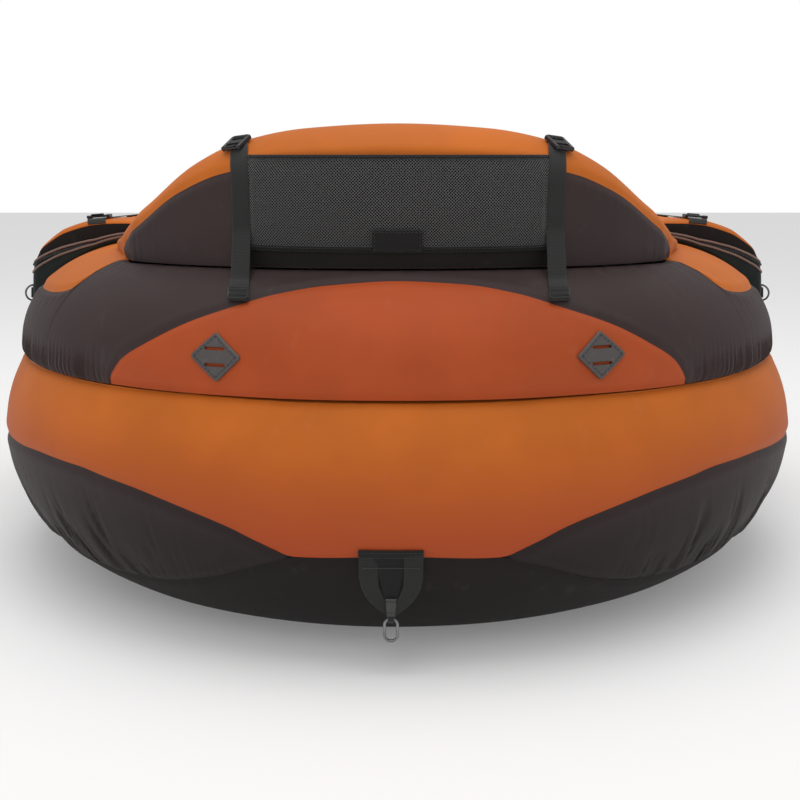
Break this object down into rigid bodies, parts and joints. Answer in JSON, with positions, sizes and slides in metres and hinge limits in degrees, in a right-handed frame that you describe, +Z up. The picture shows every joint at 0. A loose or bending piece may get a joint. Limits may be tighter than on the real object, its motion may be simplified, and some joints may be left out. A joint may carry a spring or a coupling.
{
  "type": "float tube",
  "caption": "U-shaped inflatable fishing float tube with stacked hull and armrest tubes, a backrest, gear pockets, a seat and a spreader bar.",
  "frame": {"origin": "on the floor, below the middle of the bounding box", "axes": "+Z up, the stern with the backrest faces -Y, the open bow faces +Y, +X to the right as seen from the stern"},
  "size_m": [1.1782, 1.4519, 0.6145],
  "materials": {
    "orange": "coated cloth, satin",
    "crescent": "coated cloth, satin",
    "brown": "coated cloth, satin",
    "black": "coated cloth, matt",
    "film": "translucent film",
    "webbing": "woven webbing",
    "mesh": "knitted net",
    "plastic": "moulded, satin",
    "steel": "polished wire",
    "aluminium": "brushed",
    "padding": "foam in cloth, matt",
    "lash": "coated webbing, satin",
    "pocket": "coated cloth, matt"
  },
  "bodies": {
    "float_tube": {"hull_bottom_panel": "black", "hull_band_panel": "orange", "hull_deck_panel": "orange", "hull_inner_panel": "black", "hull_side_panel_left": "brown", "hull_side_panel_right": "brown", "hull_chamber_left": "film", "hull_chamber_right": "film", "nose_cap_left": "black", "nose_cap_right": "black", "armrest_outer_panel": "brown", "armrest_inner_panel": "black", "stern_crescent_panel": "crescent", "armrest_top_panel_left": "orange", "armrest_top_panel_right": "orange", "armrest_end_panel_left": "orange", "armrest_end_panel_right": "orange", "armrest_chamber": "film", "backrest_rear_panel": "brown", "backrest_top_panel": "orange", "backrest_front_panel": "black", "backrest_chamber": "film", "back_cushion": "padding", "back_strap_left": "webbing", "back_strap_right": "webbing", "ladder_lock_left": "plastic", "ladder_lock_right": "plastic", "mesh_pocket": "mesh", "mesh_pull_tab": "webbing", "lash_tab_left": "lash", "lash_tab_right": "lash", "tow_patch": "webbing", "tow_webbing": "webbing", "pocket_body_left": "pocket", "pocket_body_right": "pocket", "d_ring_tab_left": "webbing", "d_ring_tab_right": "webbing", "seat_sling": "black", "seat_cushion": "padding", "pivot_bracket": "plastic", "pivot_pin": "steel", "bar_cradle": "plastic", "hull_valve_left_body": "plastic", "hull_valve_right_body": "plastic", "armrest_valve_body": "plastic", "backrest_valve_body": "plastic"},
    "tow_ring": {"tow_ring": "steel"},
    "d_ring_left": {"d_ring_left": "steel"},
    "d_ring_right": {"d_ring_right": "steel"},
    "pocket_lid_left": {"pocket_lid_left": "orange", "lid_strap_left": "webbing"},
    "zip_slider_left": {"zip_slider_left": "steel"},
    "pocket_lid_right": {"pocket_lid_right": "orange", "lid_strap_right": "webbing"},
    "zip_slider_right": {"zip_slider_right": "steel"},
    "spreader_bar": {"spreader_bar": "aluminium"},
    "hull_valve_left_cap": {"hull_valve_left_cap": "plastic"},
    "hull_valve_right_cap": {"hull_valve_right_cap": "plastic"},
    "armrest_valve_cap": {"armrest_valve_cap": "plastic"},
    "backrest_valve_cap": {"backrest_valve_cap": "plastic"}
  },
  "joints": [
    {"name": "tow_ring_swing", "type": "hinge", "parent": "float_tube", "child": "tow_ring", "pos_m": [-0.007, -0.72202, 0.07], "axis": [1, 0, 0], "range_deg": [-120, 70]},
    {"name": "d_ring_left_swing", "type": "hinge", "parent": "float_tube", "child": "d_ring_left", "pos_m": [-0.57782, -0.085, 0.36055], "axis": [-0.0708, 0, -0.9975], "range_deg": [-43, 130]},
    {"name": "d_ring_right_swing", "type": "hinge", "parent": "float_tube", "child": "d_ring_right", "pos_m": [0.57782, -0.085, 0.36055], "axis": [-0.0708, 0, 0.9975], "range_deg": [-43, 130]},
    {"name": "pocket_lid_left_hinge", "type": "hinge", "parent": "float_tube", "child": "pocket_lid_left", "pos_m": [-0.39811, 0.02, 0.45542], "axis": [0, 1, 0], "range_deg": [0, 110]},
    {"name": "zip_slider_left_run", "type": "slide", "parent": "float_tube", "child": "zip_slider_left", "axis": [0, -1, 0], "range_m": [0, 0.228]},
    {"name": "pocket_lid_right_hinge", "type": "hinge", "parent": "float_tube", "child": "pocket_lid_right", "pos_m": [0.39811, 0.02, 0.45542], "axis": [0, -1, 0], "range_deg": [0, 110]},
    {"name": "zip_slider_right_run", "type": "slide", "parent": "float_tube", "child": "zip_slider_right", "axis": [0, -1, 0], "range_m": [0, 0.228]},
    {"name": "spreader_bar_pivot", "type": "hinge", "parent": "float_tube", "child": "spreader_bar", "pos_m": [-0.1674, 0.29, 0.193], "axis": [0, -1, 0], "range_deg": [0, 90]},
    {"name": "hull_valve_left_cap_hinge", "type": "hinge", "parent": "float_tube", "child": "hull_valve_left_cap", "pos_m": [-0.392, 0.40628, 0.37604], "axis": [-1, 0, 0], "range_deg": [0, 110]},
    {"name": "hull_valve_right_cap_hinge", "type": "hinge", "parent": "float_tube", "child": "hull_valve_right_cap", "pos_m": [0.392, 0.40628, 0.37604], "axis": [-1, 0, 0], "range_deg": [0, 110]},
    {"name": "armrest_valve_cap_hinge", "type": "hinge", "parent": "float_tube", "child": "armrest_valve_cap", "pos_m": [0.26609, 0.0275, 0.40361], "axis": [-0.7479, 0, -0.6638], "range_deg": [0, 110]},
    {"name": "backrest_valve_cap_hinge", "type": "hinge", "parent": "float_tube", "child": "backrest_valve_cap", "pos_m": [0.23777, -0.37306, 0.47346], "axis": [-0.3326, -0.3048, -0.8924], "range_deg": [0, 110]}
  ]
}
